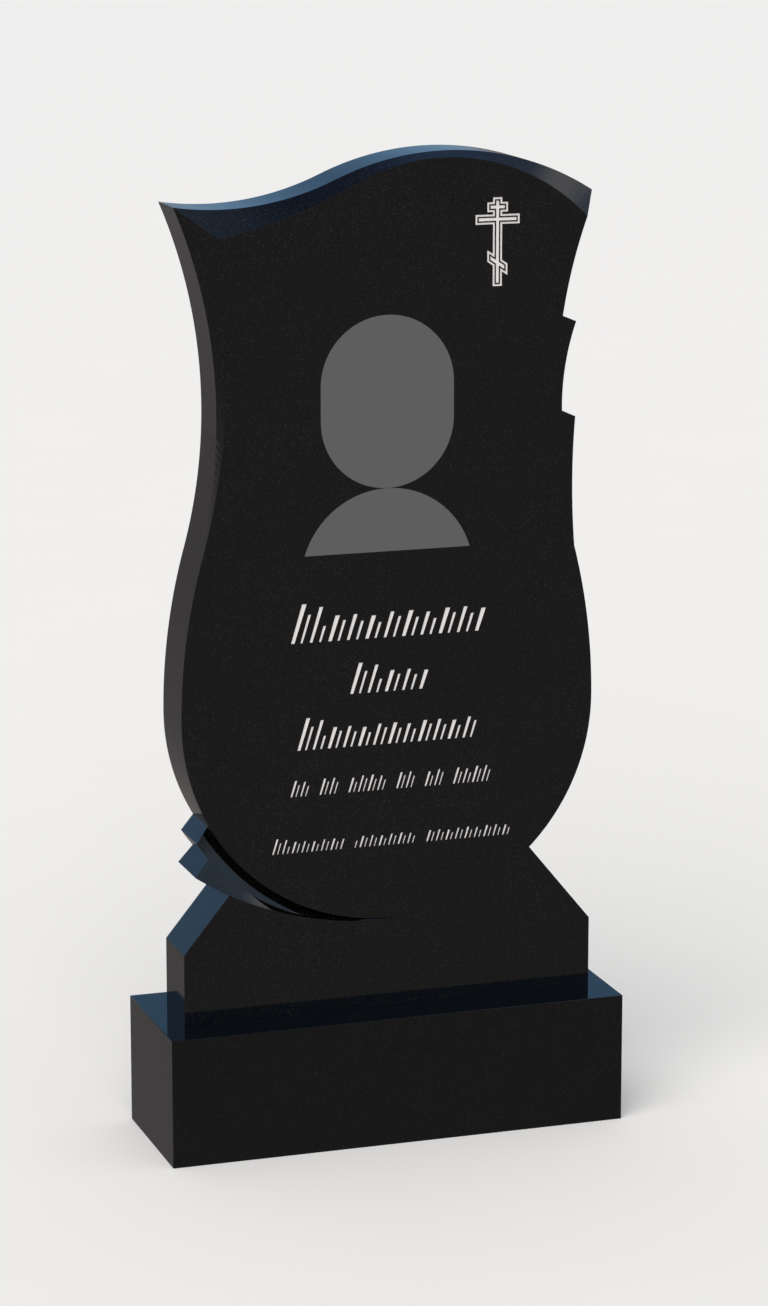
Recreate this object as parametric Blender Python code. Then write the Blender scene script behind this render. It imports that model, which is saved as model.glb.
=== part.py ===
"""A polished black stone headstone: a shaped stele standing on a plain plinth.

Metres, +Z up. The face looks to -Y, X runs along it, and the origin is the middle of
the plinth's underside. The slab's own drawing is in (x, z) from the middle of its foot,
with depths counted back from its face.
"""

import math

import bmesh
import bpy
from mathutils import Vector

# Plinth, one rectangular block
PLINTH_LENGTH = 0.5542
PLINTH_DEPTH = 0.1845
PLINTH_HEIGHT = 0.1539
PLINTH_BLACK = (0.012, 0.011, 0.011)
PLINTH_ROUGHNESS = 0.12

# Stele, one slab standing on the plinth
STELE_WIDTH = 0.500
STELE_HEIGHT = 1.000
STELE_THICKNESS = 0.077
STELE_SHIFT = 0.002
FRONT_LEDGE = 0.0489
SEAT_GAP = 0.0003
STELE_BLACK = (0.010, 0.010, 0.010)
STELE_ROUGHNESS = 0.10

# The slab's outline is a free form, so it keeps its shares of the slab's height.
# One unit is a thousandth of that height.
UNIT = STELE_HEIGHT / 1000
SHOULDER_HEIGHT = 84.7 * UNIT
CHEEK_SLOPE = math.radians(50.7)
BOWL_HEIGHT = 358 * UNIT
FLANK_RADIUS = 700 * UNIT
WAIST_RADIUS = 600 * UNIT
CREST_RADIUS = 327 * UNIT
CREST_SIDEWAYS = 75 * UNIT
DIP_RADIUS = 333 * UNIT
LEFT_CORNER_INSET = 1 * UNIT
LEFT_CORNER_DROP = 53.2 * UNIT

# Right side: two small steps part three hollow runs
FLANK_TOP = 537.4 * UNIT
LOWER_STEP_HEIGHT = 689.5 * UNIT
UPPER_STEP_HEIGHT = 800.2 * UNIT
STEP_OUTER_INSET = 23.8 * UNIT
STEP_WIDTH = 16.4 * UNIT
STEP_RISE = 6.9 * UNIT
LOWER_HOLLOW_RADIUS = 936 * UNIT
MIDDLE_HOLLOW_RADIUS = 291 * UNIT

# Bevel along the left waist and the top, meeting in a mitre at the left corner
BEVEL_DEPTH = 0.016
MITRE_RUN = 48.2 * UNIT
MITRE_FALL = 35.2 * UNIT
BEVEL_HOLLOW_RADIUS = 585.3 * UNIT
BEVEL_CREST_RADIUS = 237 * UNIT
BEVEL_CREST_SIDEWAYS = 67.5 * UNIT
BEVEL_CREST_DROP = 6.5 * UNIT

# Crescent of two petals carved under the bowl, set out by angles about its middle
CRESCENT_START = math.radians(-149.7)
FIRST_LEDGE_TURN = math.radians(1.7)
FIRST_LIP_TURN = math.radians(5.0)
SECOND_LEDGE_TURN = math.radians(0.9)
TAIL_START_TURN = math.radians(39.1)
TAIL_TURN = math.radians(16.3)
FIRST_PETAL_TURN = math.radians(53.3)
FIRST_PETAL_WIDTH = 21.9 * UNIT
SECOND_PETAL_REACH = 47 * UNIT
TAIL_START_WIDTH = 5.8 * UNIT
FIRST_PETAL_RADIUS = 232 * UNIT
SECOND_PETAL_RADIUS = 407 * UNIT
CRESCENT_DEPTH = 0.016
FIRST_PETAL_RIM_DEPTH = 0.010
SECOND_PETAL_CORNER_DEPTH = 0.002
NARROWEST_FLOOR = 0.0005
WIDEST_FLOOR_SHARE = 0.85
# Powers of the crescent's width by which its depths fade towards the tail
WALL_FADE = 0.17
RIDGE_FADE = 0.7
# The steepest floor, at which the two petals' floors become one along the tail
TAIL_SLOPE = 1.4

# Carved marks, all of one depth: a three-bar cross with a border line around its core
CARVING_DEPTH = 0.001
CROSS_SIDEWAYS = 129.2 * UNIT
CROSS_FOOT = 845 * UNIT
CROSS_TOP = 946.3 * UNIT
CROSS_BAR = 11 * UNIT
CROSS_FLARE = 0.1 * UNIT
CROSS_BORDER = 2.1 * UNIT
CROSS_CORE_INSET = 3.8 * UNIT
# Each bar's half length, its height, and its rise from the middle to the right tip
CROSS_BARS = (
    (12.2 * UNIT, 871.8 * UNIT, -8 * UNIT),
    (26.6 * UNIT, 921.4 * UNIT, 0),
    (12.4 * UNIT, 935.3 * UNIT, 0),
)

# Rows of plain parallel strokes in the inscription's place
STROKE_LEAN = math.radians(16.5)
STROKE_FOOT_SHARE = 0.75
STROKE_HEIGHTS = (1, 0.72, 0.9, 0.62, 1, 0.8)
STROKE_WIDTHS = (1, 0.6, 0.8, 0.6)
TALL_STROKES = 3
# Left end, foot, height of the tall strokes and the others, spacing, width, strokes in words
STROKE_ROWS = (
    (-119 * UNIT, 444 * UNIT, 45.5 * UNIT, 29.8 * UNIT, 11.16 * UNIT, 5.4 * UNIT, (21,)),
    (-48 * UNIT, 380 * UNIT, 36 * UNIT, 24.6 * UNIT, 10.5 * UNIT, 4.8 * UNIT, (9,)),
    (-112 * UNIT, 317.5 * UNIT, 37.8 * UNIT, 24.6 * UNIT, 9.15 * UNIT, 4.5 * UNIT, (24,)),
    (-120.5 * UNIT, 263 * UNIT, 18.9 * UNIT, 18.9 * UNIT, 5.84 * UNIT, 2.5 * UNIT, (4, 4, 8, 4, 4, 8)),
    (-143 * UNIT, 196 * UNIT, 18.2 * UNIT, 13.2 * UNIT, 5.88 * UNIT, 2.3 * UNIT, (15, 13, 18)),
)
WORD_GAP = 2

# Fineness of the round runs: how far a straight piece may stray from its arc
ARC_SAG = 0.00002
# Angle between straight pieces above which an edge is shaded sharp
CREASE = math.radians(20)
# Two corners nearer than this are one, and edges that turn less than this are dropped
WELD = 0.000001
FLAT_TURN = math.radians(0.1)

# Cutters: how far they stand out of the face, and reach past an edge that they open
CUT_LEAD = 0.004
CRESCENT_CUT_LEAD = 0.012
CRESCENT_CUT_PAST = 0.008
BEVEL_CUT_SPREAD = 0.020
BEVEL_CUT_EXIT = 0.0015
BEVEL_CUT_MOST = 1.8
CREST_CUT_PAST = math.radians(6)
CRESCENT_CUT_BEFORE = math.radians(3)
TAIL_CUT_SHORT = math.radians(1.5)
# Where a cutter's wall would fall on the bowl's own edge, it keeps this far off
WALL_RELIEF = 0.0002

HALF_WIDTH = STELE_WIDTH / 2
FACE_Y = FRONT_LEDGE - PLINTH_DEPTH / 2
SEAT_Z = PLINTH_HEIGHT + SEAT_GAP


class Circle:
    """A circle on the slab's face."""

    def __init__(self, centre, radius):
        self.centre = Vector(centre)
        self.radius = radius

    def at(self, angle):
        return self.centre + self.radius * Vector((math.cos(angle), math.sin(angle)))

    def angle(self, point):
        return math.atan2(point[1] - self.centre.y, point[0] - self.centre.x)

    def right_at(self, height):
        """The circle's right-hand point at a height."""
        across = math.sqrt(self.radius**2 - (height - self.centre.y) ** 2)
        return Vector((self.centre.x + across, height))

    def top_at(self, sideways):
        """The circle's upper point at a place along X."""
        rise = math.sqrt(self.radius**2 - (sideways - self.centre.x) ** 2)
        return Vector((sideways, self.centre.y + rise))

    def hits(self, point, direction):
        """Both places where a straight line meets the circle, the nearer one first."""
        offset = point - self.centre
        along = offset.dot(direction)
        half_chord = math.sqrt(along**2 - offset.length_squared + self.radius**2)
        return [point + direction * (-along - half_chord), point + direction * (-along + half_chord)]

    def beyond(self, point, angle):
        """Where a ray from a point inside leaves the circle."""
        return self.hits(point, Vector((math.cos(angle), math.sin(angle))))[1]


def meeting(first, second, side):
    """Where two circles cross, to the left (1) or right (-1) of the way between them."""
    way = second.centre - first.centre
    along = (first.radius**2 - second.radius**2 + way.length_squared) / (2 * way.length)
    across = math.sqrt(first.radius**2 - along**2)
    left = Vector((-way.y, way.x)) / way.length
    return first.centre + way / way.length * along + left * across * side


def circle_through(start, end, radius, turn):
    """The circle of an arc from start to end that turns left (1) or right (-1)."""
    half = (end - start) / 2
    rise = math.sqrt(radius**2 - half.length_squared)
    left = Vector((-half.y, half.x)) / half.length
    return Circle(start + half + left * rise * turn, radius)


def touching_circle(point, centre_way, through):
    """The circle that passes through a place and has its centre on a way from a point."""
    chord = through - point
    radius = chord.length_squared / (2 * chord.dot(centre_way))
    return Circle(point + centre_way * radius, radius)


def steps_of(radius, sweep):
    """How many straight pieces follow an arc closely enough."""
    return max(1, math.ceil(abs(sweep) / (2 * math.acos(1 - ARC_SAG / radius))))


def arc_run(circle, start, end, turn):
    """Points along a circle, after start and up to end, turning left (1) or right (-1)."""
    first = circle.angle(start)
    sweep = (circle.angle(end) - first) * turn % math.tau
    count = steps_of(circle.radius, sweep)
    return [circle.at(first + turn * sweep * step / count) for step in range(1, count + 1)]


# Circles and corners that the outline, the bevel and the crescent share
BOWL = Circle((0, BOWL_HEIGHT), HALF_WIDTH)
RIGHT_FLANK = Circle((HALF_WIDTH - FLANK_RADIUS, BOWL_HEIGHT), FLANK_RADIUS)
LEFT_FLANK = Circle((FLANK_RADIUS - HALF_WIDTH, BOWL_HEIGHT), FLANK_RADIUS)
CREST = Circle((CREST_SIDEWAYS, STELE_HEIGHT - CREST_RADIUS), CREST_RADIUS)
LEFT_CORNER = Vector((LEFT_CORNER_INSET - HALF_WIDTH, STELE_HEIGHT - LEFT_CORNER_DROP))
RIGHT_CORNER = CREST.top_at(HALF_WIDTH)
DIP = Circle(
    meeting(Circle(CREST.centre, CREST_RADIUS + DIP_RADIUS), Circle(LEFT_CORNER, DIP_RADIUS), -1),
    DIP_RADIUS,
)
WAIST = Circle(
    meeting(Circle(LEFT_FLANK.centre, FLANK_RADIUS + WAIST_RADIUS), Circle(LEFT_CORNER, WAIST_RADIUS), 1),
    WAIST_RADIUS,
)
CREST_START = CREST.at(CREST.angle(DIP.centre))
WAIST_FOOT = WAIST.at(WAIST.angle(LEFT_FLANK.centre))


def bowl_point(radius, angle):
    return Circle(BOWL.centre, radius).at(angle)


FIRST_LIP_START = CRESCENT_START + FIRST_LEDGE_TURN
FIRST_LIP_END = FIRST_LIP_START + FIRST_LIP_TURN
SECOND_LIP_START = FIRST_LIP_END + SECOND_LEDGE_TURN
TAIL_START = SECOND_LIP_START + TAIL_START_TURN
TAIL_TIP = TAIL_START + TAIL_TURN
SECOND_PETAL = circle_through(
    bowl_point(HALF_WIDTH + SECOND_PETAL_REACH, SECOND_LIP_START),
    bowl_point(HALF_WIDTH + TAIL_START_WIDTH, TAIL_START),
    SECOND_PETAL_RADIUS,
    1,
)
FIRST_PETAL = circle_through(
    bowl_point(HALF_WIDTH + FIRST_PETAL_WIDTH, FIRST_LIP_START),
    BOWL.at(FIRST_LIP_START + FIRST_PETAL_TURN),
    FIRST_PETAL_RADIUS,
    1,
)
TAIL_JOIN = SECOND_PETAL.beyond(BOWL.centre, TAIL_START)
TAIL = touching_circle(TAIL_JOIN, (SECOND_PETAL.centre - TAIL_JOIN).normalized(), BOWL.at(TAIL_TIP))
CHEEK_WAY = Vector((math.cos(CHEEK_SLOPE), math.sin(CHEEK_SLOPE)))
LEFT_SHOULDER = Vector((-HALF_WIDTH, SHOULDER_HEIGHT))
RIGHT_SHOULDER = Vector((HALF_WIDTH, SHOULDER_HEIGHT))
CHEEK_TOP = SECOND_PETAL.hits(LEFT_SHOULDER, CHEEK_WAY)[0]


def slab_outline():
    """The slab's closed outline, anticlockwise from its left foot."""
    outline = [Vector((-HALF_WIDTH, 0)), Vector((HALF_WIDTH, 0)), RIGHT_SHOULDER]
    outline.append(BOWL.hits(RIGHT_SHOULDER, Vector((-CHEEK_WAY.x, CHEEK_WAY.y)))[0])
    outline += arc_run(BOWL, outline[-1], Vector((HALF_WIDTH, BOWL_HEIGHT)), 1)
    outline += arc_run(RIGHT_FLANK, outline[-1], RIGHT_FLANK.right_at(FLANK_TOP), 1)
    for height, radius in (
        (LOWER_STEP_HEIGHT, LOWER_HOLLOW_RADIUS),
        (UPPER_STEP_HEIGHT, MIDDLE_HOLLOW_RADIUS),
    ):
        step = Vector((HALF_WIDTH - STEP_OUTER_INSET, height))
        outline += arc_run(circle_through(outline[-1], step, radius, -1), outline[-1], step, -1)
        outline.append(step + Vector((-STEP_WIDTH, STEP_RISE)))
    upper_hollow = circle_through(outline[-1], RIGHT_CORNER, WAIST_RADIUS, -1)
    outline += arc_run(upper_hollow, outline[-1], RIGHT_CORNER, -1)
    outline += arc_run(CREST, RIGHT_CORNER, CREST_START, 1)
    outline += arc_run(DIP, CREST_START, LEFT_CORNER, -1)
    outline += arc_run(WAIST, LEFT_CORNER, WAIST_FOOT, -1)
    outline += arc_run(LEFT_FLANK, WAIST_FOOT, Vector((-HALF_WIDTH, BOWL_HEIGHT)), 1)
    outline += arc_run(BOWL, outline[-1], BOWL.at(CRESCENT_START), 1)
    outline.append(FIRST_PETAL.beyond(BOWL.centre, FIRST_LIP_START))
    outline += arc_run(FIRST_PETAL, outline[-1], FIRST_PETAL.beyond(BOWL.centre, FIRST_LIP_END), 1)
    outline.append(SECOND_PETAL.beyond(BOWL.centre, SECOND_LIP_START))
    outline += arc_run(SECOND_PETAL, outline[-1], CHEEK_TOP, 1)
    outline.append(LEFT_SHOULDER)
    return outline


def on_slab(point, depth):
    """A point of the slab's drawing, at a depth behind its face, in the object's frame."""
    return Vector((STELE_SHIFT + point[0], FACE_Y + depth, SEAT_Z + point[1]))


def make_collection(name):
    collection = bpy.data.collections.new(name)
    bpy.context.scene.collection.children.link(collection)
    return collection


def add_mesh(name, mesh, collection):
    piece = bpy.data.objects.new(name, mesh)
    collection.objects.link(piece)
    return piece


def upright_solid(name, loops, front, back, collection):
    """A flat outline, with any holes as further loops, thick from one depth to another."""
    curve = bpy.data.curves.new(name, "CURVE")
    curve.dimensions = "2D"
    curve.fill_mode = "BOTH"
    curve.extrude = (back - front) / 2
    for loop in loops:
        spline = curve.splines.new("POLY")
        spline.points.add(len(loop) - 1)
        for corner, point in zip(spline.points, loop):
            corner.co = (point[0], point[1], 0, 1)
        spline.use_cyclic_u = True
    drawing = bpy.data.objects.new(name + "_drawing", curve)
    collection.objects.link(drawing)
    bpy.context.view_layer.update()
    evaluated = drawing.evaluated_get(bpy.context.evaluated_depsgraph_get())
    mesh = bpy.data.meshes.new_from_object(evaluated)
    bpy.data.objects.remove(drawing)
    shape = bmesh.new()
    shape.from_mesh(mesh)
    bmesh.ops.remove_doubles(shape, verts=shape.verts, dist=WELD)
    bmesh.ops.dissolve_limit(shape, verts=shape.verts, edges=shape.edges, angle_limit=FLAT_TURN)
    for corner in shape.verts:
        corner.co = on_slab(corner.co.xy, front if corner.co.z > 0 else back)
    bmesh.ops.recalc_face_normals(shape, faces=shape.faces)
    shape.to_mesh(mesh)
    shape.free()
    return add_mesh(name, mesh, collection)


def loft(name, sections, collection):
    """A closed solid through a row of sections, each with its corners in the same order."""
    shape = bmesh.new()
    rings = [[shape.verts.new(corner) for corner in section] for section in sections]
    for ring, following in zip(rings, rings[1:]):
        for corner in range(len(ring)):
            other = corner - 1
            shape.faces.new((ring[other], ring[corner], following[corner], following[other]))
    shape.faces.new(rings[0])
    shape.faces.new(rings[-1])
    bmesh.ops.triangulate(shape, faces=shape.faces, quad_method="FIXED")
    bmesh.ops.recalc_face_normals(shape, faces=shape.faces)
    mesh = bpy.data.meshes.new(name)
    shape.to_mesh(mesh)
    shape.free()
    return add_mesh(name, mesh, collection)


def bevel_section(foot, edge):
    """The cutter's corners over one straight line from the bevel's foot to its outer edge."""
    outward = edge - foot
    lead = CUT_LEAD / BEVEL_DEPTH
    overrun = min(max(lead, BEVEL_CUT_EXIT / outward.length), BEVEL_CUT_MOST)
    before_foot = foot - outward * lead
    past_edge = edge + outward * overrun
    return [
        on_slab(before_foot, -CUT_LEAD),
        on_slab(past_edge, BEVEL_DEPTH * (1 + overrun)),
        on_slab(past_edge + outward.normalized() * BEVEL_CUT_SPREAD, -CUT_LEAD),
    ]


def waist_bevel_sections():
    """From where the bevel dies out at the waist's foot, up to the mitre."""
    mitre = LEFT_CORNER + Vector((MITRE_RUN, -MITRE_FALL))
    foot_circle = touching_circle(WAIST_FOOT, (WAIST.centre - WAIST_FOOT).normalized(), mitre)
    low = WAIST.angle(WAIST_FOOT)
    edge_sweep = WAIST.angle(LEFT_CORNER) - low
    foot_sweep = WAIST.angle(mitre) - low
    count = steps_of(WAIST_RADIUS, edge_sweep)
    sections = []
    for step in range(2, count + 1):
        share = (step - 0.5) / (count - 0.5)
        foot_share = share * (1 + (foot_sweep / edge_sweep - 1) * share)
        foot = foot_circle.beyond(WAIST.centre, low + edge_sweep * foot_share)
        sections.append(bevel_section(foot, WAIST.at(low + edge_sweep * share)))
    return sections


def top_bevel_sections():
    """From just after the mitre, over the dip and the crest, to past the right side."""
    mitre = LEFT_CORNER + Vector((MITRE_RUN, -MITRE_FALL))
    rise = STELE_HEIGHT - BEVEL_CREST_DROP - BEVEL_CREST_RADIUS
    foot_crest = Circle((BEVEL_CREST_SIDEWAYS, rise), BEVEL_CREST_RADIUS)
    outer = Circle(foot_crest.centre, BEVEL_CREST_RADIUS + BEVEL_HOLLOW_RADIUS)
    foot_hollow = Circle(meeting(outer, Circle(mitre, BEVEL_HOLLOW_RADIUS), -1), BEVEL_HOLLOW_RADIUS)
    join = foot_hollow.angle(foot_crest.centre)
    foot_start = foot_hollow.angle(mitre)
    edge_start = foot_hollow.angle(LEFT_CORNER)
    count = steps_of(DIP_RADIUS, (join - edge_start) * BEVEL_HOLLOW_RADIUS / DIP_RADIUS)
    sections = []
    for step in range(1, count):
        share = step / count
        foot = foot_hollow.at(foot_start + (join - foot_start) * share)
        edge_angle = edge_start + (join - edge_start) * share
        edge = DIP.beyond(foot_hollow.centre, edge_angle)
        if edge.x > CREST_START.x:
            way = Vector((math.cos(edge_angle), math.sin(edge_angle)))
            edge = CREST.hits(foot_hollow.centre, way)[0]
        sections.append(bevel_section(foot, edge))
    first = join + math.pi
    last = foot_crest.angle(RIGHT_CORNER) - CREST_CUT_PAST
    count = steps_of(CREST_RADIUS, (first - last) * BEVEL_CREST_RADIUS / CREST_RADIUS)
    for step in range(count + 1):
        angle = first + (last - first) * step / count
        sections.append(bevel_section(foot_crest.at(angle), CREST.beyond(foot_crest.centre, angle)))
    return sections


def reach(circle, angle):
    """How far a circle's edge is from the bowl's middle along a ray."""
    return (circle.beyond(BOWL.centre, angle) - BOWL.centre).length


def crescent_section(angle):
    """The cutter's corners along one ray from the bowl's middle.

    A square wall stands on the bowl's edge. The first petal's floor rises from the wall's
    foot to its own rim, and the second petal's floor rises from that rim to the face.
    Both grow narrower towards the tail, and the rim grows shallow sooner than the wall.
    """
    wall = HALF_WIDTH + WALL_RELIEF
    outer = reach(SECOND_PETAL if angle < TAIL_START else TAIL, angle)
    share = min((outer - HALF_WIDTH) / SECOND_PETAL_REACH, 1)
    wall_depth = min(CRESCENT_DEPTH * share**WALL_FADE, (outer - wall) * TAIL_SLOPE)
    widest = wall + (outer - wall) * WIDEST_FLOOR_SHARE
    ridge = min(max(reach(FIRST_PETAL, angle), wall + NARROWEST_FLOOR), widest)
    ridge_depth = min(FIRST_PETAL_RIM_DEPTH * share**RIDGE_FADE, (outer - ridge) * TAIL_SLOPE)
    cheek = BOWL.angle(CHEEK_TOP)
    corner = min(max((cheek - angle) / (cheek - SECOND_LIP_START), 0), 1)
    outer_depth = SECOND_PETAL_CORNER_DEPTH * corner
    slope = (outer_depth - ridge_depth) / (outer - ridge)
    past = min(CRESCENT_CUT_PAST, -(outer_depth + CUT_LEAD) / slope)
    corners = [
        (wall, -CRESCENT_CUT_LEAD),
        (wall, wall_depth),
        (ridge, ridge_depth),
        (outer + past, outer_depth + slope * past),
        (outer + past, -CRESCENT_CUT_LEAD),
    ]
    return [on_slab(bowl_point(way, angle), depth) for way, depth in corners]


def crescent_sections():
    first = CRESCENT_START - CRESCENT_CUT_BEFORE
    last = TAIL_TIP - TAIL_CUT_SHORT
    count = steps_of(HALF_WIDTH, last - first)
    return [crescent_section(first + (last - first) * step / count) for step in range(count + 1)]


def cross_outline(inset):
    """The three-bar cross's outline, drawn in from its border by an inset."""
    half_stem = CROSS_BAR / 2 - inset
    right = [(-half_stem, CROSS_FOOT + inset), (half_stem, CROSS_FOOT + inset)]
    left = []
    for half_length, height, rise_to_tip in CROSS_BARS:
        tip = half_length - inset
        slope = rise_to_tip / half_length
        half_bar = half_stem * math.hypot(1, slope)
        half_tip = half_bar + CROSS_FLARE
        for across, rise in ((half_stem, -half_bar), (tip, -half_tip), (tip, half_tip), (half_stem, half_bar)):
            right.append((across, height + across * slope + rise))
            left.append((-across, height - across * slope + rise))
    right += [(half_stem, CROSS_TOP - inset), (-half_stem, CROSS_TOP - inset)]
    return [(CROSS_SIDEWAYS + across, height) for across, height in right + left[::-1]]


def stroke(left, foot, height, width):
    """One leaning chisel stroke, narrower at its foot."""
    lean = height * math.tan(STROKE_LEAN)
    return [
        (left, foot),
        (left + width * STROKE_FOOT_SHARE, foot),
        (left + width + lean, foot + height),
        (left + lean, foot + height),
    ]


def inscription():
    """Rows of separate parallel strokes of a few heights and widths, none of them a letter."""
    strokes = []
    for left, foot, tall, low, spacing, width, words in STROKE_ROWS:
        place = 0
        for word, count in enumerate(words):
            for turn in range(place, place + count):
                height = (tall if turn < TALL_STROKES else low) * STROKE_HEIGHTS[turn % len(STROKE_HEIGHTS)]
                breadth = width * STROKE_WIDTHS[turn % len(STROKE_WIDTHS)]
                along = left + spacing * (turn + WORD_GAP * word)
                strokes.append(stroke(along, foot, height, breadth))
            place += count
    return strokes


def stone(name, colour, roughness):
    material = bpy.data.materials.new(name)
    material.use_nodes = True
    shader = material.node_tree.nodes["Principled BSDF"]
    shader.inputs["Base Color"].default_value = (*colour, 1)
    shader.inputs["Roughness"].default_value = roughness
    shader.inputs["Metallic"].default_value = 0
    return material


def finish(piece, material):
    piece.data.materials.clear()
    piece.data.materials.append(material)
    piece.data.shade_smooth()
    piece.data.set_sharp_from_angle(angle=CREASE)


def cut(piece, cutter):
    cutter.hide_render = True
    cutter.display_type = "WIRE"
    opening = piece.modifiers.new(cutter.name, "BOOLEAN")
    opening.operation = "DIFFERENCE"
    opening.object = cutter


def make_plinth(collection):
    bpy.ops.mesh.primitive_cube_add(size=1, location=(0, 0, PLINTH_HEIGHT / 2))
    plinth = bpy.context.object
    plinth.name = "plinth"
    plinth.scale = (PLINTH_LENGTH, PLINTH_DEPTH, PLINTH_HEIGHT)
    bpy.ops.object.transform_apply(location=False, rotation=False, scale=True)
    for owner in plinth.users_collection:
        owner.objects.unlink(plinth)
    collection.objects.link(plinth)
    plinth.data.materials.append(stone("plinth_stone", PLINTH_BLACK, PLINTH_ROUGHNESS))


def make_stele(collection, cutters):
    stele = upright_solid("stele", [slab_outline()], 0, STELE_THICKNESS, collection)
    finish(stele, stone("stele_stone", STELE_BLACK, STELE_ROUGHNESS))
    cut(stele, loft("bevel_cut", waist_bevel_sections() + top_bevel_sections(), cutters))
    cut(stele, loft("crescent_cut", crescent_sections(), cutters))
    marks = inscription()
    marks += [cross_outline(inset) for inset in (0, CROSS_BORDER, CROSS_CORE_INSET)]
    cut(stele, upright_solid("marks_cut", marks, -CARVING_DEPTH, CARVING_DEPTH, cutters))


for leftover in list(bpy.data.objects):
    bpy.data.objects.remove(leftover)
headstone_pieces = make_collection("headstone")
make_plinth(headstone_pieces)
make_stele(headstone_pieces, make_collection("cutters"))
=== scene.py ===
"""Looks of a polished black headstone: a carved stele standing on a plinth."""

import math

import bmesh
import bpy
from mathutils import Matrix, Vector


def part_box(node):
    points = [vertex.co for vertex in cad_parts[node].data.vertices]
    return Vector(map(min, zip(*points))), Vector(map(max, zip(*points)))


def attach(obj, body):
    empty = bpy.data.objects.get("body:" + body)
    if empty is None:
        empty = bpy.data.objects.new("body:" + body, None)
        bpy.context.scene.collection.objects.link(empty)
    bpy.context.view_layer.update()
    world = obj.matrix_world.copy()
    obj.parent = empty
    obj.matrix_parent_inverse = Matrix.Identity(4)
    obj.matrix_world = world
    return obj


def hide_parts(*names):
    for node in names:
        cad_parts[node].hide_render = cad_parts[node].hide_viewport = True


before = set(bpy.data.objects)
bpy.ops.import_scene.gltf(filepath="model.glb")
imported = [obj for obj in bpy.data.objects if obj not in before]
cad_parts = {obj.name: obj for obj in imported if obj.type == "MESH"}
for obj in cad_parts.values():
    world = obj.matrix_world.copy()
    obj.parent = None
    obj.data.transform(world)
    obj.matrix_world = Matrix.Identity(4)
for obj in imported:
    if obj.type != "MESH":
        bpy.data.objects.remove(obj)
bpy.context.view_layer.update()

# Plinth: one block of black gabbro, sawn square and polished on its four sides and top.
# Its underside is left as the saw left it, because it is bedded on the ground.
# The arrises are eased with a hand pad, so they catch a thin line of light.

PLINTH_ARRIS = 0.0006
SAW_PITCH = 0.004
FLECK_SCALE = 480.0
GRAIN_SCALE = 900.0
CLOUD_SCALE = 14.0
POLISH_ROUGHNESS = 0.045
PLINTH_GLOSS = 1.45
PLINTH_FLECKS = 0.20
BLACK_STONE = (0.0006, 0.0005, 0.0005)
STONE_FLECK = (0.038, 0.036, 0.034)
SAWN_STONE = (0.055, 0.056, 0.058)


class Amount:
    """A number that varies over a surface. Sums on it add Math nodes."""

    def __init__(self, nodes, socket):
        self.nodes = nodes
        self.socket = socket

    def sum(self, operation, first, second=0.0, clamp=False):
        settings = {"operation": operation, "use_clamp": clamp}
        made = self.nodes.add("Math", settings, {0: first, 1: second})
        return Amount(self.nodes, made.outputs[0])

    def __add__(self, other):
        return self.sum("ADD", self, other)

    def __radd__(self, other):
        return self.sum("ADD", other, self)

    def __sub__(self, other):
        return self.sum("SUBTRACT", self, other)

    def __rsub__(self, other):
        return self.sum("SUBTRACT", other, self)

    def __mul__(self, other):
        return self.sum("MULTIPLY", self, other)

    def __rmul__(self, other):
        return self.sum("MULTIPLY", other, self)

    def __truediv__(self, other):
        return self.sum("DIVIDE", self, other)

    def __pow__(self, other):
        return self.sum("POWER", self, other)

    def clamped(self):
        return self.sum("ADD", self, 0.0, clamp=True)

    def higher(self, other):
        return self.sum("MAXIMUM", self, other)

    def lower(self, other):
        return self.sum("MINIMUM", self, other)


class Nodes:
    """A node tree, such as a finish's, to which nodes are added with what feeds them."""

    def __init__(self, tree):
        self.tree = tree

    def add(self, kind, settings, sockets):
        made = self.tree.nodes.new("ShaderNode" + kind)
        for name, setting in settings.items():
            if name == "stops":
                self.stops(made.color_ramp, setting)
            else:
                setattr(made, name, setting)
        for name, value in sockets.items():
            self.feed(made.inputs[name], value)
        return made

    def stops(self, ramp, stops):
        while len(ramp.elements) < len(stops):
            ramp.elements.new(1.0)
        for element, (place, colour) in zip(ramp.elements, stops):
            element.position = place
            element.color = (*colour, 1)

    def feed(self, socket, value):
        if isinstance(value, Amount):
            self.tree.links.new(value.socket, socket)
        elif isinstance(value, bpy.types.NodeSocket):
            self.tree.links.new(value, socket)
        else:
            socket.default_value = value

    def blend(self, share, first, second):
        """A colour between two others."""
        made = self.add("Mix", {"data_type": "RGBA"}, {0: share, 6: first, 7: second})
        return made.outputs[2]

    def place(self):
        """Where a point lies on the object: its coordinates, and X, Y and Z apart."""
        point = self.add("TexCoord", {}, {}).outputs["Object"]
        parts = self.add("SeparateXYZ", {}, {"Vector": point}).outputs
        return point, Amount(self, parts[0]), Amount(self, parts[1]), Amount(self, parts[2])


def new_finish(name):
    material = bpy.data.materials.new(name)
    material.use_nodes = True
    return material, Nodes(material.node_tree), material.node_tree.nodes["Principled BSDF"]


def stone_grain(nodes, point):
    """Black stone's own pattern: pale feldspar flecks, fine grain and slow clouds."""
    crystals = nodes.add("TexNoise", {}, {"Vector": point, "Scale": FLECK_SCALE, "Detail": 1.5})
    grain = nodes.add("TexNoise", {}, {"Vector": point, "Scale": GRAIN_SCALE, "Detail": 3.0})
    clouds = nodes.add("TexNoise", {}, {"Vector": point, "Scale": CLOUD_SCALE, "Detail": 4.0})
    fine = Amount(nodes, grain.outputs["Fac"])
    slow = Amount(nodes, clouds.outputs["Fac"])
    fleck = ((Amount(nodes, crystals.outputs["Fac"]) - 0.56) * 6.0).clamped()
    return fleck * (slow * 1.6), fine, slow


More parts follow.
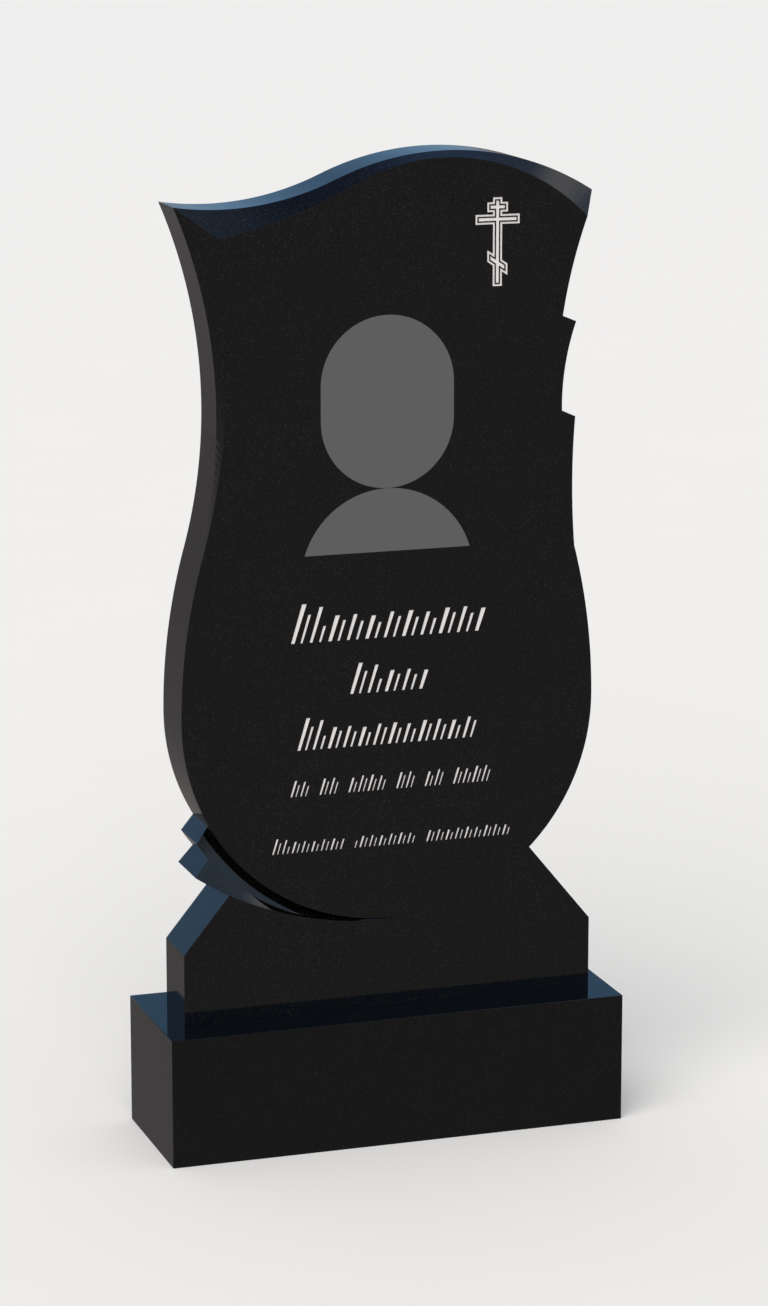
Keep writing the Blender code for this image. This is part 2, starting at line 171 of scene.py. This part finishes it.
def polished_stone(name, arris, gloss, flecks):
    """Black stone polished to a mirror, with a fine fleck and a slightly uneven polish."""
    material, nodes, shader = new_finish(name)
    point, across, back, height = nodes.place()
    fleck, fine, slow = stone_grain(nodes, point)
    share = (fleck * flecks + (fine - 0.5) * 0.06).clamped()
    nodes.feed(shader.inputs["Base Color"], nodes.blend(share, (*BLACK_STONE, 1), (*STONE_FLECK, 1)))
    nodes.feed(shader.inputs["Roughness"], POLISH_ROUGHNESS + fine * 0.03 + slow * 0.02)
    eased = nodes.add("Bevel", {"samples": 4}, {"Radius": arris})
    nodes.feed(shader.inputs["Normal"], eased.outputs["Normal"])
    shader.inputs["IOR"].default_value = gloss
    return material


def sawn_stone():
    """Black stone as the saw leaves it: dull dark grey with faint straight saw lines."""
    material, nodes, shader = new_finish("sawn_stone")
    point, across, back, height = nodes.place()
    fleck, fine, slow = stone_grain(nodes, point)
    line = back.sum("SINE", back * (math.tau / SAW_PITCH)) * 0.5 + 0.5
    share = (0.35 + fleck * 0.4 + fine * 0.3 - line * 0.1).clamped()
    nodes.feed(shader.inputs["Base Color"], nodes.blend(share, (*BLACK_STONE, 1), (*SAWN_STONE, 1)))
    nodes.feed(shader.inputs["Roughness"], 0.6 + fine * 0.2)
    ridges = nodes.add("Bump", {}, {"Height": line + fine * 0.5, "Distance": 0.0002, "Strength": 0.6})
    nodes.feed(shader.inputs["Normal"], ridges.outputs["Normal"])
    return material


def deselect_all():
    bpy.ops.object.select_all(action="DESELECT")


def make_plinth():
    low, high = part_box("plinth")
    size = Vector(high) - Vector(low)
    middle = (Vector(high) + Vector(low)) / 2
    deselect_all()
    bpy.ops.mesh.primitive_cube_add(size=1, location=middle)
    plinth = bpy.context.object
    plinth.name = "plinth_block"
    plinth.data.name = "plinth_block"
    bpy.ops.object.mode_set(mode="EDIT")
    bpy.ops.transform.resize(value=size)
    bpy.ops.mesh.select_all(action="SELECT")
    bpy.ops.mesh.bevel(offset=PLINTH_ARRIS, segments=2)
    bpy.ops.object.mode_set(mode="OBJECT")
    bpy.ops.object.transform_apply(location=True, rotation=True, scale=True)
    polish = polished_stone("plinth_polish", PLINTH_ARRIS, PLINTH_GLOSS, PLINTH_FLECKS)
    plinth.data.materials.append(polish)
    plinth.data.materials.append(sawn_stone())
    for face in plinth.data.polygons:
        face.use_smooth = max(map(abs, face.normal)) < 0.99
        face.material_index = 1 if face.normal.z < -0.99 else 0
    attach(plinth, "root")
    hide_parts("plinth")
    return plinth


make_plinth()

# Stele: one slab of the same stone, sawn to its outline and polished all round.
# Its left waist and top are bevelled, and a crescent of two petals is ground into the foot.
# It is set on the plinth and bonded, so it has no fixings that show.

CARVING_DEPTH = 0.001
BOWL_HEIGHT = 0.358
CARVING_REACH = 0.245
CREASE = math.radians(14)
PETAL_RIM_CREASE = math.radians(2)
PETAL_RIM_DRIFT = 0.2
STELE_ARRIS = 0.0003
STELE_GLOSS = 1.5
STELE_FLECKS = 0.36
JOINT_CLOSED = 0.00025
PLACE_GREY = (0.100, 0.097, 0.097)
HEAD_MIDDLE = -0.0005
HEAD_RADIUS = 0.080
HEAD_LOW = 0.6985
HEAD_HIGH = 0.738
SHOULDER_FOOT = 0.5448
SHOULDER_MIDDLE = 0.5139
SHOULDER_RADIUS = 0.1046
CARVED_GREY = (0.80, 0.785, 0.78)

stele_low, stele_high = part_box("stele")


def face_stone():
    """The slab's polished face, with a flat grey head-and-shoulders place for a portrait."""
    material = polished_stone("stele_face_polish", STELE_ARRIS, STELE_GLOSS, STELE_FLECKS)
    nodes = Nodes(material.node_tree)
    shader = material.node_tree.nodes["Principled BSDF"]
    point, across, back, height = nodes.place()
    rise = height - stele_low[2]
    sideways = across - HEAD_MIDDLE
    past_middle = rise - rise.higher(HEAD_LOW).lower(HEAD_HIGH)
    head = HEAD_RADIUS - (sideways ** 2.0 + past_middle ** 2.0) ** 0.5
    above = rise - SHOULDER_MIDDLE
    shoulders = (SHOULDER_RADIUS - (sideways ** 2.0 + above ** 2.0) ** 0.5).lower(rise - SHOULDER_FOOT)
    place = (head.higher(shoulders) * 4000.0).clamped()
    stone = shader.inputs["Base Color"].links[0].from_socket
    polish = Amount(nodes, shader.inputs["Roughness"].links[0].from_socket)
    nodes.feed(shader.inputs["Base Color"], nodes.blend(place, stone, (*PLACE_GREY, 1)))
    nodes.feed(shader.inputs["Roughness"], polish + place * 0.45)
    return material


def carved_stone():
    """The floor and walls of a carved mark: frosted by the blast, a pale dry grey."""
    material, nodes, shader = new_finish("stele_carving")
    point, across, back, height = nodes.place()
    fleck, fine, slow = stone_grain(nodes, point)
    share = (0.75 + (fine - 0.5) * 0.5 + (slow - 0.5) * 0.2).clamped()
    nodes.feed(shader.inputs["Base Color"], nodes.blend(share, (0.45, 0.44, 0.43, 1), (*CARVED_GREY, 1)))
    nodes.feed(shader.inputs["Roughness"], 0.8 + fine * 0.15)
    pits = nodes.add("Bump", {}, {"Height": fine, "Distance": 0.0002, "Strength": 0.5})
    nodes.feed(shader.inputs["Normal"], pits.outputs["Normal"])
    return material


def make_stele():
    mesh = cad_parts["stele"].data.copy()
    mesh.name = "stele_slab"
    stele = bpy.data.objects.new("stele_slab", mesh)
    bpy.context.scene.collection.objects.link(stele)
    mesh.materials.clear()
    edge_stone = polished_stone("stele_polish", STELE_ARRIS, STELE_GLOSS, STELE_FLECKS)
    for material in (edge_stone, face_stone(), carved_stone()):
        mesh.materials.append(material)
    shape = bmesh.new()
    shape.from_mesh(mesh)
    bmesh.ops.remove_doubles(shape, verts=shape.verts, dist=0.000002)
    shape.normal_update()
    for corner in shape.verts:
        if corner.co.z < stele_low[2] + JOINT_CLOSED:
            corner.co.z -= JOINT_CLOSED
    face_y = stele_low[1]
    bowl_middle = Vector(((stele_low[0] + stele_high[0]) / 2, face_y, stele_low[2] + BOWL_HEIGHT))
    for face in shape.faces:
        depths = [corner.co.y - face_y for corner in face.verts]
        middle = face.calc_center_median()
        inside = (middle - bowl_middle).length < CARVING_REACH or middle.z > bowl_middle.z
        face.smooth = True
        face.material_index = 0
        if max(depths) < 0.00001:
            face.material_index = 1
        elif max(depths) < CARVING_DEPTH + 0.00001 and inside:
            face.material_index = 2
    for edge in shape.edges:
        one, other = edge.link_faces
        first, second = [(corner.co - bowl_middle).length for corner in edge.verts]
        in_crescent = max(first, second) > CARVING_REACH and edge.verts[0].co.z < bowl_middle.z
        along_rim = in_crescent and abs(first - second) < edge.calc_length() * PETAL_RIM_DRIFT
        crease = PETAL_RIM_CREASE if along_rim else CREASE
        edge.smooth = one.material_index == other.material_index and edge.calc_face_angle() < crease
    shape.to_mesh(mesh)
    shape.free()
    deselect_all()
    bpy.context.view_layer.objects.active = stele
    bpy.ops.object.modifier_add(type="WEIGHTED_NORMAL")
    stele.modifiers[-1].keep_sharp = True
    bpy.ops.object.modifier_apply(modifier=stele.modifiers[-1].name)
    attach(stele, "root")
    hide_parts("stele")
    return stele


make_stele()

# Studio: a plain pale floor under a soft sky, with one broad lamp in front and to the left.
# The polish mirrors an open-air sky, blue above, hazy in front to the right, with grey ground.

FLOOR_REACH = 60
FLOOR_PAINTS = ((0.93, 0.93, 0.93), (0.95, 0.95, 0.95))
LAMP_POWER = 2.0
CAMERA_PLACE = (-1.4876, -4.4849, 1.6435)
CAMERA_TILT = math.radians(77.2)
CAMERA_TURN = math.radians(-18.46)
CAMERA_LENS = 114.81
PLAIN_SKY = (0.52, 0.52, 0.52)
GROUND_BEHIND = (0.205, 0.190, 0.190)
GROUND_BEFORE = (0.262, 0.245, 0.244)
# Elevation in degrees, and the sky's colour there
SKY = (
    (0, (0.24, 0.31, 0.39)),
    (4, (0.24, 0.39, 0.55)),
    (9, (0.21, 0.38, 0.60)),
    (13, (0.17, 0.33, 0.54)),
    (17, (0.14, 0.28, 0.47)),
    (40, (0.14, 0.26, 0.48)),
    (60, (0.12, 0.21, 0.41)),
    (80, (0.10, 0.17, 0.33)),
)
# Glows in the sky: turn from straight behind the slab to its right, elevation, reach, colour
SKY_GLOWS = (
    (118, 20, 75, (0.38, 0.42, 0.45)),
    (105, 39, 19, (0.92, 0.77, 0.62)),
)
HORIZON_LOW = math.sin(math.radians(-2))
HORIZON_HIGH = math.sin(math.radians(1))


def make_sky():
    world = bpy.data.worlds.new("studio_sky")
    world.use_nodes = True
    bpy.context.scene.world = world
    nodes = Nodes(world.node_tree)
    way = nodes.add("TexCoord", {}, {}).outputs["Generated"]
    parts = nodes.add("SeparateXYZ", {}, {"Vector": way}).outputs
    back = Amount(nodes, parts[1])
    rise = Amount(nodes, parts[2])
    stops = [(math.sin(math.radians(degrees)), colour) for degrees, colour in SKY]
    sky = nodes.add("ValToRGB", {"stops": stops}, {"Fac": rise.clamped()}).outputs["Color"]
    for turn, elevation, reach, colour in SKY_GLOWS:
        level = math.cos(math.radians(elevation))
        across = math.sin(math.radians(turn)) * level
        behind = math.cos(math.radians(turn)) * level
        middle = (across, behind, math.sin(math.radians(elevation)))
        facing = nodes.add("VectorMath", {"operation": "DOT_PRODUCT"}, {0: way, 1: middle})
        edge = math.cos(math.radians(reach))
        share = ((Amount(nodes, facing.outputs["Value"]) - edge) / (1 - edge)).clamped() ** 2.0
        added = {"data_type": "RGBA", "blend_type": "ADD"}
        sky = nodes.add("Mix", added, {0: share, 6: sky, 7: (*colour, 1)}).outputs[2]
    before = (0.5 - back * 0.5).clamped()
    ground = nodes.blend(before, (*GROUND_BEHIND, 1), (*GROUND_BEFORE, 1))
    above = ((rise - HORIZON_LOW) / (HORIZON_HIGH - HORIZON_LOW)).clamped()
    mirrored = nodes.add("LightPath", {}, {}).outputs["Is Glossy Ray"]
    colour = nodes.blend(mirrored, (*PLAIN_SKY, 1), nodes.blend(above, ground, sky))
    background = world.node_tree.nodes["Background"]
    nodes.feed(background.inputs["Color"], colour)


def make_floor():
    deselect_all()
    bpy.ops.mesh.primitive_plane_add(size=FLOOR_REACH)
    floor = bpy.context.object
    floor.name = "studio_floor"
    material, nodes, shader = new_finish("floor_paint")
    point, across, back, height = nodes.place()
    clouds = nodes.add("TexNoise", {}, {"Vector": point, "Scale": 3.0, "Detail": 2.0})
    share = Amount(nodes, clouds.outputs["Fac"])
    darker, paler = FLOOR_PAINTS
    nodes.feed(shader.inputs["Base Color"], nodes.blend(share, (*darker, 1), (*paler, 1)))
    shader.inputs["Roughness"].default_value = 0.9
    shader.inputs["Specular IOR Level"].default_value = 0.1
    floor.data.materials.append(material)
    floor.visible_glossy = False


def make_lamp():
    lamp = bpy.data.lights.new("broad_lamp", "SUN")
    lamp.energy = LAMP_POWER
    lamp.angle = math.radians(60)
    lamp.color = (1.0, 0.97, 0.94)
    stand = bpy.data.objects.new("broad_lamp", lamp)
    stand.rotation_euler = (math.radians(48), 0, math.radians(-35))
    stand.visible_glossy = False
    bpy.context.scene.collection.objects.link(stand)


def make_camera():
    camera = bpy.data.cameras.new("camera")
    camera.lens = CAMERA_LENS
    camera.sensor_width = 36
    camera.clip_end = 200
    tripod = bpy.data.objects.new("camera", camera)
    tripod.location = CAMERA_PLACE
    tripod.rotation_euler = (CAMERA_TILT, 0, CAMERA_TURN)
    bpy.context.scene.collection.objects.link(tripod)
    bpy.context.scene.camera = tripod


make_sky()
make_floor()
make_lamp()
make_camera()
bpy.context.scene.view_settings.view_transform = "Standard"
